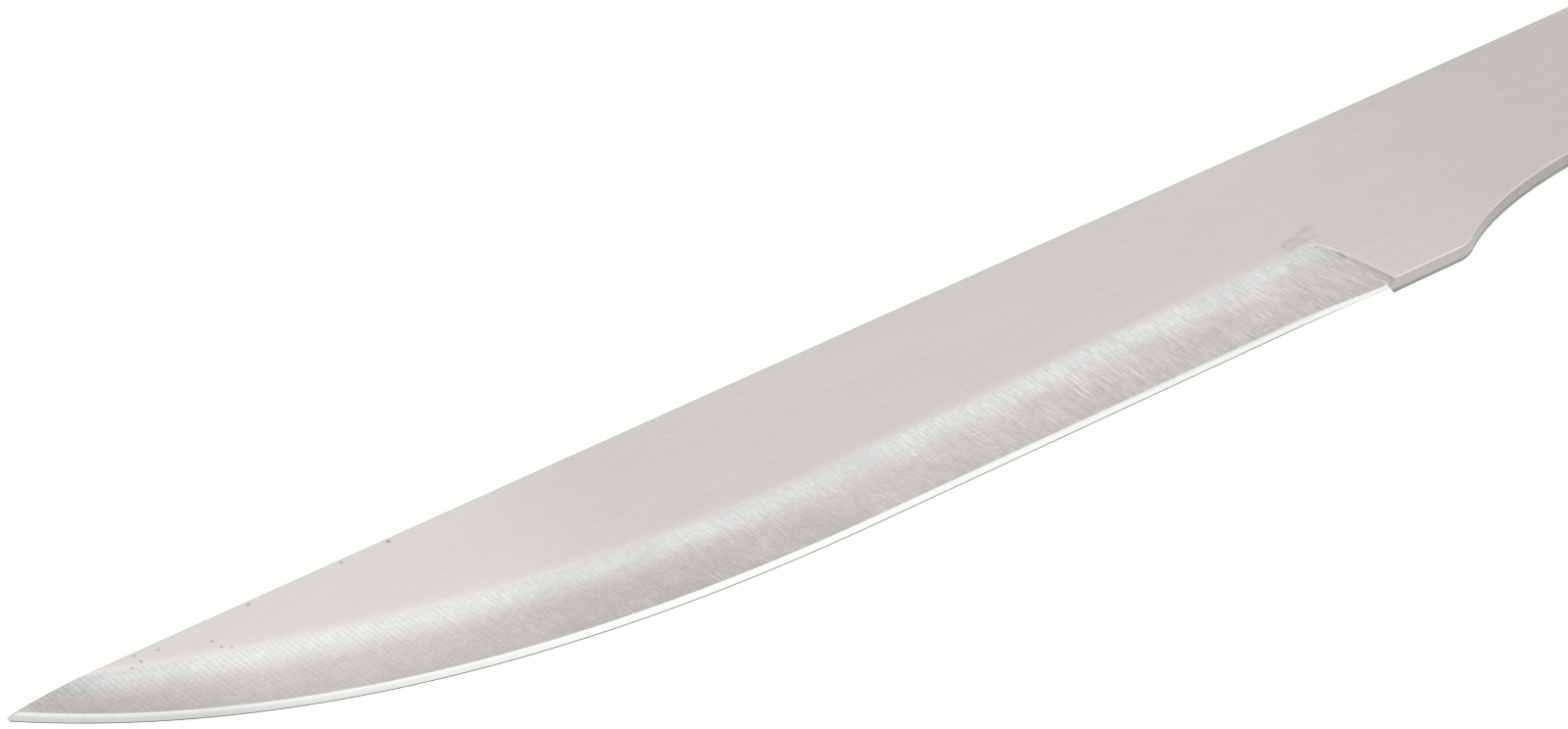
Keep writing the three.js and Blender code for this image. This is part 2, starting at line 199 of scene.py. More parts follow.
class BladeSettings(bpy.types.PropertyGroup):
    """Sizes of the stamped and ground blade."""

    blade_length: length("Blade length", "Heel to point", 175.8)
    edge_lift: length("Edge lift", "Height of the edge above the ricasso's underside", 0.4)
    belly_length: length("Belly length", "Curved stretch of the edge, back from the point", 99)
    belly_end_run: length("Belly end run", "Point to where the edge's end tangent meets the edge", 31.6)
    point_drop: length("Point drop", "Depth of the point below the straight spine", 0.3)
    point_blunt: length("Blunt point", "Height that is left at the very point", 0.6)
    blunt_reach: length("Blunt reach", "Height of the blade where the edge is no longer blunted", 22)
    point_drop_length: length("Point drop length", "Stretch of the spine that dips to the point", 8)
    ricasso_length: length("Ricasso length", "Heel to the corner under the ricasso", 11.6)
    ricasso_corner: length("Ricasso corner", "Rounding of that corner", 5.3)
    neck_width: length("Neck width", "Height of the neck, behind the sweep", 22.9)
    neck_sweep_run: length("Neck sweep run", "Corner to where the sweep's tangent meets the neck", 11.4)
    neck_sweep_length: length("Neck sweep length", "Corner to where the neck runs parallel", 34.8)
    grind_height: length("Grind height", "Straight edge to the grind line", 10.8)
    grind_runout: length("Grind runout", "Point to where the grind line meets the spine", 10.5)
    grind_softness: length("Grind softness", "Depth over which the hollow eases into the flat", 0.09)
    wheel_radius: length("Wheel radius", "Radius of the hollow across the blade", 83)
    plunge_angle: angle("Plunge angle", "Slope of the wall where the grind ends at the ricasso", 56)
    plunge_lean: angle("Plunge lean", "Lean of that wall towards the point", 14)
    plunge_foot: length("Plunge foot", "Height where that lean starts", 0.8)
    plunge_rounding: length("Plunge rounding", "How far its upper corner is rounded off", 1.3)
    bevel_width: length("Edge bevel width", "Sharpened bevel along the straight edge", 0.88)
    bevel_point_width: length("Edge bevel width at the point", "Sharpened bevel at the point", 1.25)
    bevel_heel_width: length("Edge bevel width at the heel", "Sharpened bevel at the heel", 0.5)
    bevel_heel_length: length("Edge bevel taper", "Stretch where the bevel narrows to the heel", 14)
    bevel_angle: angle("Edge bevel angle", "Sharpening angle of each side", 15)
    edge_land: length("Edge land", "Thickness left at the very edge", 0.115)
    spine_rounding: length("Spine rounding", "Rolled corner along the spine", 0.12)
    underside_rounding: length("Underside rounding", "Depth of the rolled corner under the ricasso", 0.10)
    underside_rim: length("Underside rim", "Width of that corner across the face", 0.35)


class HandleSettings(bpy.types.PropertyGroup):
    """Sizes of the grip and its wooden scales."""

    palm_run: length("Palm run", "Front of the scales to the fullest part of the palm swell", 40)
    palm_swell: length("Palm swell", "Depth of that swell below the neck", 2.6)
    waist_run: length("Waist run", "Front of the scales to the waist", 76)
    waist_swell: length("Waist swell", "Depth of the waist below the neck", 1.2)
    butt_hook: length("Butt hook", "Lower corner of the butt, below the neck", 6)
    butt_drop: length("Butt drop", "Upper corner of the butt, below the spine", 2.4)
    butt_rounding: length("Butt rounding", "Length of the rounded end", 11)
    butt_drop_length: length("Butt drop length", "Stretch of the back that eases to the butt", 46)
    edge_radius: length("Edge radius", "Rounding along the outer edges of the scales", 3)
    seam_ease: length("Seam ease", "Broken corner where a scale meets the tang", 0.2)
    head_gap: length("Head gap", "Gap between a brass head and the wood", 0.05)
    bore_ease: length("Bore ease", "Broken corner round each head", 0.12)


class FastenerSettings(bpy.types.PropertyGroup):
    """Sizes of the two-piece rivets and of the eyelet in the hanging hole."""

    head_thickness: length("Rivet head thickness", "Thickness of a rivet's head", 1.6)
    sleeve_diameter: length("Sleeve diameter", "Outside of a rivet's hollow half", 5)
    post_diameter: length("Post diameter", "Shank of a rivet's solid half", 2.8)
    post_clearance: length("Post clearance", "Gap between post and sleeve, and beside each hole", 0.2)
    head_chamfer: length("Head chamfer", "Broken corner of each head", 0.25)
    eyelet_bore: length("Eyelet bore", "Inside of the eyelet", 7)
    eyelet_wall: length("Eyelet wall", "Wall of the eyelet's tube", 0.8)
    flange_thickness: length("Flange thickness", "Thickness of the eyelet's flanges", 0.8)
    mouth_rounding: length("Mouth rounding", "Rounding at the eyelet's mouths", 0.5)


class FinishSettings(bpy.types.PropertyGroup):
    """Colours and gloss of the steel, wood and brass."""

    flat_steel: colour("Flat steel", "Brushed flats of the blade", (0.71, 0.683, 0.656))
    band_steel: colour("Band steel", "Bright upper part of the hollow", (0.665, 0.655, 0.643))
    # Colour of the lower hollow, darker than the band as painted shade
    painted_shade_hollow_steel: colour("Ground steel", "Lower part of the hollow", (0.60, 0.575, 0.552))
    honed_steel: colour("Honed steel", "Sharpened bevel", (0.79, 0.785, 0.775))
    # Almost black: the line at the very edge is painted as shade
    painted_shade_edge_steel: colour("Blunt edge", "Line that is left at the very edge", (0.10, 0.10, 0.105))
    sheared_steel: colour("Sheared steel", "Spine and underside of the plate", (0.40, 0.388, 0.37))
    scratch: colour("Scratches", "Bright scratches in the hollow", (0.85, 0.84, 0.83))
    pit: colour("Pits", "Rust pits near the point", (0.30, 0.28, 0.25))
    stain: colour("Stain", "Brown smudge above the heel", (0.50, 0.455, 0.405))
    flat_roughness: factor("Flat roughness", "Roughness of the brushed flats", 0.28)
    ground_roughness: factor("Ground roughness", "Roughness of the hollow", 0.2)
    wood_light: colour("Light wood", "Early wood of the scales", (0.30, 0.135, 0.062))
    wood_dark: colour("Dark wood", "Late wood of the scales", (0.10, 0.038, 0.018))
    wood_pore: colour("Wood pores", "Open pores of the wood", (0.035, 0.014, 0.008))
    wood_roughness: factor("Wood roughness", "Roughness of the oiled wood", 0.46)
    brass: colour("Brass", "Rivets and eyelet", (0.78, 0.58, 0.27))
    brass_tarnish: colour("Brass tarnish", "Dulled patches of the brass", (0.50, 0.34, 0.15))
    brass_roughness: factor("Brass roughness", "Roughness of the sanded brass", 0.26)


class StageSettings(bpy.types.PropertyGroup):
    """Camera, light and floor."""

    camera_azimuth: angle("Camera azimuth", "Direction of the camera round the knife", -36.5)
    camera_elevation: angle("Camera elevation", "Height of the camera above the horizon", 37.5)
    camera_distance: length("Camera distance", "Camera to the spot that it looks at", 1000)
    camera_lens: FloatProperty(name="Camera lens", description="Focal length on a 36 mm wide sensor",
                               default=195.75, min=1.0, unit="CAMERA")
    aim_ahead: length("Aim ahead", "Heel to that spot, towards the point", 68.46)
    aim_height: length("Aim height", "Ricasso's underside to that spot, towards the spine", 29.66)
    floor_size: length("Floor size", "Side of the square floor", 3000)
    floor_colour: colour("Floor colour", "Pale floor", (0.86, 0.86, 0.86))
    floor_glow: factor("Floor glow", "Light that the floor adds by itself", 0.55, most=5.0)
    dome_strength: factor("Dome strength", "Brightness of the soft light all round", 1.0, most=5.0)
    glow_core: angle("Glow core", "Angle from overhead where the glow starts to fall", 10)
    glow_reach: angle("Glow reach", "Angle from overhead where the glow has faded", 85)
    glow_level: factor("Glow level", "Brightness of the glow overhead", 1.5, most=5.0)
    dip_reach: angle("Dip reach", "Angle from overhead where the glow's dim middle ends", 22)
    dip_depth: factor("Dip depth", "How much dimmer that middle is", 0.8, most=5.0)
    shade_level: factor("Shade level", "Brightness of the dome near the floor", 0.44, most=5.0)


def forward(operation):
    """A method that gives a socket, and any other value after it, to a Math node."""
    return lambda self, *others: self.math(operation, self, *others)


def reflected(operation):
    """The same with the other value first."""
    return lambda self, other: self.math(operation, other, self)


class Socket:
    """A node's output that takes part in Python expressions."""

    __add__, __radd__ = forward("ADD"), reflected("ADD")
    __sub__, __rsub__ = forward("SUBTRACT"), reflected("SUBTRACT")
    __mul__, __rmul__ = forward("MULTIPLY"), reflected("MULTIPLY")
    __truediv__, __rtruediv__ = forward("DIVIDE"), reflected("DIVIDE")
    __pow__, __rpow__ = forward("POWER"), reflected("POWER")
    __abs__ = forward("ABSOLUTE")
    sine = forward("SINE")
    arccosine = forward("ARCCOSINE")
    fraction = forward("FRACT")

    def __init__(self, tree, output=None):
        self.tree = tree
        self.output = output

    def node(self, kind, settings=None, sockets=None, output=0):
        """Add a node: its settings come first, then the values or links of its sockets."""
        made = self.tree.nodes.new(kind)
        for name, value in (settings or {}).items():
            setattr(made, name, value)
        for key, value in (sockets or {}).items():
            if isinstance(value, Socket):
                self.tree.links.new(value.output, made.inputs[key])
            else:
                made.inputs[key].default_value = value
        return Socket(self.tree, made.outputs[output] if len(made.outputs) else None)

    def math(self, operation, *values):
        return self.node("ShaderNodeMath", {"operation": operation}, dict(enumerate(values)))

    def fade(self, low, high):
        """0 below low, 1 above high and a smooth step between; the other way round if low is higher."""
        return self.node("ShaderNodeMapRange", {"interpolation_type": "SMOOTHSTEP"},
                         {"Value": self, "From Min": low, "From Max": high})

    def fade_mm(self, low, high):
        """The same for a length, with low and high in mm."""
        return self.fade(low * MM, high * MM)

    def mix(self, first, second):
        """A colour from first to second as this value goes from 0 to 1."""
        sockets = {0: self, 6: as_colour(first), 7: as_colour(second)}
        return self.node("ShaderNodeMix", {"data_type": "RGBA"}, sockets, 2)

    def vector(self, operation, *values, output=0):
        return self.node("ShaderNodeVectorMath", {"operation": operation}, dict(enumerate(values)), output)

    def scaled(self, amount):
        """This colour or vector times a value."""
        return self.node("ShaderNodeVectorMath", {"operation": "SCALE"}, {0: self, "Scale": amount})


def as_colour(value):
    """A plain colour with its alpha, or a socket as it is."""
    return value if isinstance(value, Socket) else (*value, 1.0)


def shade(colour_value, amount):
    """A plain colour made this much lighter or darker."""
    return [level * amount for level in colour_value]


def start_material(name):
    """A new material, the place on its piece and the three coordinates of that place."""
    material = bpy.data.materials.new(name)
    material.use_nodes = True
    material.node_tree.nodes.clear()
    place = Socket(material.node_tree).node("ShaderNodeTexCoord", output="Object")
    axes = [place.node("ShaderNodeSeparateXYZ", None, {0: place}, axis) for axis in range(3)]
    return material, place, axes


def end_material(material, sockets):
    """Feed a Principled shader from these sockets, and give back the material."""
    shader = Socket(material.node_tree)
    surface = shader.node("ShaderNodeBsdfPrincipled", None, sockets)
    shader.node("ShaderNodeOutputMaterial", None, {"Surface": surface})
    return material


def grain(place, sizes, detail=2.0):
    """Noise around zero, within about half each way, with blotches of these sizes in mm along the axes."""
    stretched = place.vector("DIVIDE", place, [size * MM for size in sizes])
    sockets = {"Vector": stretched, "Scale": 1.0, "Detail": detail, "Roughness": 0.5}
    return place.node("ShaderNodeTexNoise", None, sockets) - 0.5


def marks(place, shape, spots, slant=0.0, sunk=0.0):
    """1 in the middle of each of these oval spots, falling to 0 at its outline.

    The spots lie this far below the upper face, in a place that is slanted by this much.
    """
    found = 0.0
    for ahead, height, along, across in spots:
        level = shape.base + height * MM
        centre = (shape.heel - ahead * MM + level * slant, level, BLADE_HIGH.z - sunk)
        reach = (along * MM, across * MM, PLATE_HALF)
        shares = place.vector("DIVIDE", place.vector("SUBTRACT", place, centre), reach)
        inside = place.vector("LENGTH", shares, output="Value").fade(1.0, 0.0)
        found = place.math("MAXIMUM", found, inside)
    return found


def bump(relief, depth):
    """A normal for a relief whose height of 1 is this deep, in mm."""
    return relief.node("ShaderNodeBump", None, {"Height": relief, "Distance": depth * MM})


def compass(azimuth, elevation):
    """Direction towards this azimuth, which is 0 on the side of the edge, and this elevation."""
    flat = math.cos(elevation)
    return Vector((math.sin(azimuth) * flat, -math.cos(azimuth) * flat, math.sin(elevation)))


def bezier(points, steps):
    """Points along a Bezier curve with these control points, both ends included."""
    share = np.linspace(0, 1, steps + 1)[:, None]
    layer = [np.asarray(point, float)[None, :] for point in points]
    while len(layer) > 1:
        layer = [first + (second - first) * share for first, second in zip(layer, layer[1:])]
    return layer[0]


def ease(start, end, steps):
    """An S-shaped stretch that leaves and arrives along X."""
    middle = (start[0] + end[0]) / 2
    return bezier([start, (middle, start[1]), (middle, end[1]), end], steps)


def straight(start, end, steps):
    """Evenly spaced points from start to end."""
    return bezier([start, end], steps)


def chain(*stretches):
    """Stretches that follow each other, with each shared end kept once."""
    return np.vstack([stretches[0]] + [stretch[1:] for stretch in stretches[1:]])


def fine_ends(count):
    """Shares from 0 to 1 that lie closer together at both ends."""
    share = np.linspace(0, 1, count + 1)
    return share - END_CROWDING * np.sin(2 * np.pi * share) / (2 * np.pi)


def smooth_step(share):
    """0 up to 0, 1 from 1 on and level at both ends."""
    share = np.clip(share, 0, 1)
    return share * share * (3 - 2 * share)


class GripLines:
    """Underside and back of the grip, shared by the tang and the scales."""

    def __init__(self, blade, handle):
        start, end = SCALE_LOW.x, SCALE_HIGH.x
        spine = BLADE_HIGH.y
        neck = spine - blade.neck_width
        shoulder = end - handle.butt_rounding
        low = (shoulder, neck - handle.butt_hook)
        high = (shoulder, spine - handle.butt_drop)
        palm = (start + handle.palm_run, neck - handle.palm_swell)
        waist = (start + handle.waist_run, neck - handle.waist_swell)
        # A cubic whose two handles lie level reaches three quarters of the way to them.
        reach = shoulder + handle.butt_rounding * 4 / 3
        butt = bezier([low, (reach, low[1]), (reach, high[1]), high], 2 * BUTT_STEPS)
        back_drop = (shoulder - handle.butt_drop_length, spine)
        self.neck = neck
        self.underside = chain(
            ease((start, neck), palm, GRIP_STEPS),
            ease(palm, waist, GRIP_STEPS),
            ease(waist, low, GRIP_STEPS),
            butt[:BUTT_STEPS + 1],
        )
        self.back = chain(
            straight((start, spine), back_drop, GRIP_STEPS),
            ease(back_drop, high, 2 * GRIP_STEPS),
            butt[BUTT_STEPS:][::-1],
        )

    def outline(self):
        """The scales' outline, anticlockwise from the front lower corner."""
        front = straight(self.back[0], self.underside[0], SCALE_FRONT_STEPS)
        return np.vstack([self.underside, self.back[::-1][1:], front[1:-1]])


class BladeShape:
    """Rows of points round the blade, from the point to the butt."""

    def __init__(self, blade, handle):
        self.blade = blade
        self.heel = BLADE_LOW.x + blade.blade_length
        self.base = BLADE_LOW.y
        self.spine = BLADE_HIGH.y
        self.edge = self.base + blade.edge_lift
        self.point = (BLADE_LOW.x, self.spine - blade.point_drop)
        self.belly_start = BLADE_LOW.x + blade.belly_length
        self.grip = GripLines(blade, handle)
        self.wall_slope = math.tan(blade.plunge_angle)
        self.wall_lead = self.heel - (PLATE_HALF - blade.edge_land / 2) / self.wall_slope - PLUNGE_LEAD
        self.rim_end = self.heel + PLUNGE_RIM
        dip = (self.point[0] + blade.point_drop_length, self.spine)
        dip_handle = ((self.point[0] + dip[0]) / 2, self.spine)
        self.back = chain(bezier([self.point, dip_handle, dip], CORNER_STEPS), self.grip.back)

    def back_height(self, x):
        """Height of the spine and of the back of the tang."""
        return np.interp(x, self.back[:, 0], self.back[:, 1])

    def grind_line(self, x):
        """Height of the grind line: straight along the blade, then a parabola up to the spine."""
        level = self.edge + self.blade.grind_height
        run = self.belly_start - self.point[0] - self.blade.grind_runout
        share = max(0.0, self.belly_start - x) / run
        return level + (self.spine - level) * share ** 2

    def wall_lean(self, height):
        """How far the plunge wall has leaned towards the point at this height, a number or a socket."""
        above = height - self.blade.plunge_foot
        return (above + (above ** 2 + LEAN_BEND ** 2) ** 0.5) * (math.tan(self.blade.plunge_lean) / 2)

    def hollow_depth(self, height, bevel_width, bevel_height, grind_height):
        """Depth of the hollow at this height above the edge, a number or a socket."""
        hollow_height = grind_height - bevel_height
        sagitta = hollow_height ** 2 / (8 * self.blade.wheel_radius)
        share = (height - bevel_height) / hollow_height
        return (1 - share) * (PLATE_HALF - self.bevel_half(bevel_width) + share * (4 * sagitta))

    def bevel_half(self, width):
        """Half thickness of the blade at the top of a bevel of this width."""
        return self.blade.edge_land / 2 + width * math.tan(self.blade.bevel_angle)

    def ground_half(self, x, heights, grind_height, slope, bevel_width):
        """Half thickness that grinding leaves at these heights above the edge."""
        blade = self.blade
        bevel_height = bevel_width * math.hypot(1, slope)
        bevel = PLATE_HALF - self.bevel_half(bevel_width * heights / bevel_height)
        hollow = self.hollow_depth(heights, bevel_width, bevel_height, grind_height)
        depth = np.where(heights < bevel_height, bevel, hollow)
        share = (heights - bevel_height) / (grind_height - bevel_height)
        # The plunge wall is steep below and gentle above, where the wheel's edge only just touched.
        wall_slope = self.wall_slope * (1 - WALL_EASE * np.clip(share, 0, 1) ** WALL_EASE_POWER)
        depth = np.minimum(depth, (self.heel - x) * wall_slope)
        # The wheel leaves no crisp line where it ran out, so the grind eases into the flat.
        return PLATE_HALF - (depth + np.hypot(depth, blade.grind_softness)) / 2

    def flat_heights(self, start, end):
        """Heights over a flat stretch, with a narrow strip at its end."""
        strip = min(FLAT_STRIP, (end - start) / FLAT_COLUMNS)
        return np.append(np.linspace(start, end - strip, FLAT_COLUMNS)[1:], end)

    def column_heights(self, lowest, hollow_top, top, rounding):
        """Heights of a row's columns: these lowest ones, then the hollow's, the flat's and the spine's."""
        turn = np.linspace(0, np.pi / 2, ROUNDING_COLUMNS + 1)[1:]
        return np.concatenate([
            lowest,
            lowest[-1] + (hollow_top - lowest[-1]) * fine_ends(HOLLOW_COLUMNS)[1:],
            self.flat_heights(hollow_top, top - rounding),
            top - rounding + rounding * np.sin(turn),
        ])

    def roll_spine(self, heights, half, top, rounding):
        """Roll the plate's corner over along the spine."""
        past = np.clip((heights - (top - rounding)) / rounding, 0, 1)
        return half - rounding * (1 - np.sqrt(1 - past * past))

    def ground_row(self, x, edge, slope, bevel_width):
        """Heights above the edge and half thicknesses of one row across the ground blade."""
        top = self.back_height(x) - edge
        rounding = min(self.blade.spine_rounding, MOST_ROUNDING * top)
        grind_height = self.grind_line(x) - edge
        below_spine = top - rounding
        bevel_top = min(bevel_width * math.hypot(1, slope), MOST_BEVEL * below_spine)
        hollow_top = min(grind_height + GRIND_MARGIN, bevel_top + MOST_HOLLOW * (below_spine - bevel_top))
        bevel = np.linspace(0, bevel_top, BEVEL_COLUMNS + 1)
        heights = self.column_heights(bevel, hollow_top, top, rounding)
        half = self.ground_half(x, heights, grind_height, slope, bevel_width)
        return heights, self.roll_spine(heights, half, top, rounding)

    def plain_row(self, x, base):
        """Heights above the underside and half thicknesses of one row across the plain plate."""
        blade = self.blade
        top = self.back_height(x) - base
        rounding = min(blade.spine_rounding, MOST_ROUNDING * top)
        rim = min(blade.underside_rim, MOST_ROUNDING * top)
        hollow_top = min(blade.grind_height + blade.edge_lift + GRIND_MARGIN, MOST_PLAIN * top)
        turn = np.linspace(0, np.pi / 2, BEVEL_COLUMNS + 1)
        heights = self.column_heights(rim * (1 - np.cos(turn)), hollow_top, top, rounding)
        half = np.full(len(heights), PLATE_HALF)
        half[:BEVEL_COLUMNS + 1] -= blade.underside_rounding * (1 - np.sin(turn))
        return heights, self.roll_spine(heights, half, top, rounding)

    def ground_stations(self):
        """(x, edge, slope, bevel width) of each row from the point to the heel."""
        blade = self.blade
        handle_point = (self.point[0] + blade.belly_end_run, self.edge)
        belly = bezier([self.point, handle_point, (self.belly_start, self.edge)], BELLY_STEPS)
        slopes = np.gradient(belly[:, 1], belly[:, 0])
        heights = self.back_height(belly[:, 0]) - belly[:, 1]
        belly[:, 1] -= blade.point_blunt * np.clip(1 - heights / blade.blunt_reach, 0, 1) ** 2
        widths = np.linspace(blade.bevel_point_width, blade.bevel_width, len(belly))
        rows = [(*spot_on_edge, slope, width) for spot_on_edge, slope, width in zip(belly, slopes, widths)]
        straight_rows = np.linspace(self.belly_start, self.wall_lead, STRAIGHT_STEPS + 1)[1:]
        plunge_rows = np.linspace(self.wall_lead, self.rim_end, PLUNGE_STEPS + 1)[1:]
        for x in (*straight_rows, *plunge_rows):
            taper = smooth_step((self.heel - x) / blade.bevel_heel_length)
            width = blade.bevel_heel_width + (blade.bevel_width - blade.bevel_heel_width) * taper
            edge = self.edge - blade.edge_lift * (1 - taper)
            rows.append((x, edge, 0.0, width))
        return rows

    def plain_stations(self):
        """(x, underside) of each row from the heel to the butt."""
        blade = self.blade
        corner = np.array([self.heel + blade.ricasso_length, self.base])
        sweep_handle = np.array([corner[0] + blade.neck_sweep_run, self.grip.neck])
        sweep_end = (corner[0] + blade.neck_sweep_length, self.grip.neck)
        direction = (sweep_handle - corner) / np.linalg.norm(sweep_handle - corner)
        reach = blade.ricasso_corner * math.tan(math.atan2(direction[1], direction[0]) / 2)
        corner_start = (corner[0] - reach, self.base)
        sweep_start = corner + direction * reach
        start = (self.rim_end + PLAIN_GAP, self.base)
        line = chain(
            straight(start, corner_start, RICASSO_STEPS),
            bezier([corner_start, corner, sweep_start], CORNER_STEPS),
            bezier([sweep_start, sweep_handle, sweep_end], SWEEP_STEPS),
            straight(sweep_end, self.grip.underside[0], NECK_STEPS),
            self.grip.underside,
        )
        line[-1] = line[-2] + (line[-1] - line[-2]) * BUTT_CLOSE
        return line

    def lean(self, x, heights):
        """How far the grind's end leans towards the point, fading out along the blade and the ricasso."""
        blade = self.blade
        from_heel = x - self.heel
        fade = (smooth_step((from_heel - LEAN_START) / (LEAN_FULL - LEAN_START))
                * smooth_step((LEAN_END - from_heel) / LEAN_END))
        ground = np.minimum(heights, blade.grind_height)
        corner = blade.plunge_rounding * (ground / blade.grind_height) ** CORNER_POWER
        return fade * (self.wall_lean(ground) + corner)

    def finishes(self, rings):
        """Finish of each face between the rings, and of the two ends."""
        size = len(rings[0])
        ground_rows = BELLY_STEPS + STRAIGHT_STEPS + PLUNGE_STEPS
        honed_rows = ground_rows - PLUNGE_STEPS // 2
        found = np.full((len(rings) - 1, size), SATIN)
        found[:honed_rows, :BEVEL_COLUMNS] = HONED
        found[:honed_rows, -1 - BEVEL_COLUMNS:] = HONED
        found[ground_rows:, [0, -2]] = SHEARED
        found[honed_rows:, -1] = SHEARED
        found[:, size // 2 - 1] = SHEARED
        return found.ravel().tolist() + [SHEARED, SHEARED]

    def rings(self):
        """Closed rings of points: up the upper face and down the lower one."""
        rows = []
        for x, edge, *grind in self.ground_stations():
            rows.append((x, edge, *self.ground_row(x, edge, *grind)))
        for x, base in self.plain_stations():
            rows.append((x, base, *self.plain_row(x, base)))
        rings = []
        for x, base, heights, half in rows:
            across = np.column_stack([x - self.lean(x, heights), base + heights])
            upper = np.column_stack([across, PLATE_MIDDLE + half])
            lower = np.column_stack([across, PLATE_MIDDLE - half])
            rings.append(np.vstack([upper, lower[::-1]]))
        return rings


def mesh_object(name, points, faces, materials, indices=None):
    """A new object in the scene from points and faces, smooth all over."""
    mesh = bpy.data.meshes.new(name)
    mesh.from_pydata([tuple(point) for point in points], [], faces)
    if indices is not None:
        mesh.polygons.foreach_set("material_index", indices)
    for material in materials:
        mesh.materials.append(material)
    mesh.validate()
    mesh.shade_smooth()
    made = bpy.data.objects.new(name, mesh)
    bpy.context.scene.collection.objects.link(made)
    return made


def skin(rings):
    """Faces over closed rings of equally many points, with a face over each end."""
    size = len(rings[0])
    faces = []
    for ring in range(len(rings) - 1):
        for index in range(size):
            after = (index + 1) % size
            faces.append((ring * size + index, ring * size + after,
                          (ring + 1) * size + after, (ring + 1) * size + index))
    last = (len(rings) - 1) * size
    faces.append(tuple(reversed(range(size))))
    faces.append(tuple(range(last, last + size)))
    return faces


def turned_mesh(name, profile, centre, materials):
    """A turned piece round a vertical axis, from a closed profile of (radius, level) pairs."""
    points = []
    rings = []
    for radius, level in profile:
        turns = [0.0] if radius == 0 else np.linspace(0, 2 * np.pi, TURNED_SEGMENTS, endpoint=False)
        rings.append([len(points) + index for index in range(len(turns))])
        points += [(centre[0] + radius * math.cos(turn), centre[1] + radius * math.sin(turn), level)
                   for turn in turns]
    faces = []
    pairs = list(zip(rings, rings[1:]))
    if profile[0][0] > 0:
        pairs.append((rings[-1], rings[0]))
    for first, second in pairs:
        for index in range(TURNED_SEGMENTS):
            after = (index + 1) % TURNED_SEGMENTS
            corners = [first[index % len(first)], first[after % len(first)],
                       second[after % len(second)], second[index % len(second)]]
            face = tuple(dict.fromkeys(corners))
            if len(face) > 2:
                faces.append(face)
    return mesh_object(name, points, faces, materials)


def cut(piece, cutters):
    """Cut holes into a piece and remove the cutting solids."""
    for cutter in cutters:
        tool = piece.modifiers.new("Bore", "BOOLEAN")
        tool.operation = "DIFFERENCE"
        tool.solver = "EXACT"
        tool.object = cutter
    bpy.context.view_layer.update()
    whole = piece.evaluated_get(bpy.context.evaluated_depsgraph_get())
    bored = bpy.data.meshes.new_from_object(whole)
    if len(bored.polygons) <= len(piece.data.polygons):
        raise RuntimeError(f"{piece.name}: the holes were not cut")
    plain = piece.data
    piece.modifiers.clear()
    piece.data = bored
    bored.name = piece.name
    bpy.data.meshes.remove(plain)
    for cutter in cutters:
        bpy.data.objects.remove(cutter)


def crisp(piece, weighted=True):
    """Keep real corners sharp and flat faces flat under smooth shading."""
    piece.data.set_sharp_from_angle(angle=SHARP_ANGLE)
    if weighted:
        shading = piece.modifiers.new("Flat faces", "WEIGHTED_NORMAL")
        shading.keep_sharp = True


def settle(piece, slot, *nodes):
    """Put a finished piece in the frame, in place of its CAD nodes."""
    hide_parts(*nodes)
    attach(piece, BODY)


def middle_of(node):
    """Centre of a node's box in plan."""
    low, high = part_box(node)
    return (low.x + high.x) / 2, (low.y + high.y) / 2


def bore(name, centre, stages):
    """A stepped cutting solid from (radius, level) pairs, in their order along the axis."""
    profile = [(0, stages[0][1]), *stages, (0, stages[-1][1])]
    return turned_mesh(name, profile, centre, [])


def fastener_seats(fasteners):
    """Each fastener's centre, hole and head radius, and the height of its seat above the middle plane."""
    sleeve = fasteners.sleeve_diameter / 2
    tube = fasteners.eyelet_bore / 2 + fasteners.eyelet_wall
    kinds = [(f"rivet_{name}_post", sleeve, fasteners.head_thickness) for name in RIVET_NAMES]
    kinds.append(("hang_eyelet", tube, fasteners.flange_thickness))
    seats = []
    for node, stem, thickness in kinds:
        low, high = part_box(node)
        hole, head = stem + fasteners.post_clearance, (high.x - low.x) / 2
        seats.append((middle_of(node), hole, head, high.z - thickness - PLATE_MIDDLE))
    return seats


def inset(outline, distance):
    """An outline drawn in by this distance, with its corners kept."""
    ahead = np.roll(outline, -1, axis=0) - outline
    normals = np.column_stack([-ahead[:, 1], ahead[:, 0]]) / np.linalg.norm(ahead, axis=1)[:, None]
    before = np.roll(normals, 1, axis=0)
    share = 1 + np.sum(normals * before, axis=1)
    return outline + distance * (normals + before) / share[:, None]


def quarter_round(across, level, out, up, steps):
    """Points of a corner from its wall to its face, drawn in by these two roundings."""
    turns = np.linspace(0, np.pi / 2, steps + 1)
    return [(across - out * (1 - math.cos(turn)), level - up * (1 - math.sin(turn))) for turn in turns]


def brass_piece(node, profile, brass):
    """Turn one brass piece round the middle of its node."""
    piece = turned_mesh(f"brass_{node}", profile, middle_of(node), [brass])
    crisp(piece)
    settle(piece, "rivet_brass", node)


def brushed_flats(place, from_heel, speckle, cloud):
    """Tone and relief of the flats, which are brushed lengthwise, with painted light along them: lighter
    towards the point, darker from the heel back.
    """
    # Painted light: lighter towards the point, darker from the heel back
    ahead = from_heel.fade_mm(-95, -125)
    behind = from_heel.fade_mm(-6, 40)
    brushed = grain(place, (7, 0.18, 8))
    hairs = grain(place, (26, 0.12, 8), 1).fade(0.18, 0.26)
    lines = brushed * 0.1 + hairs * 0.05
    return 1.01 + ahead * 0.1 - behind * 0.085 + lines + speckle * 0.09 + cloud * 0.06, brushed


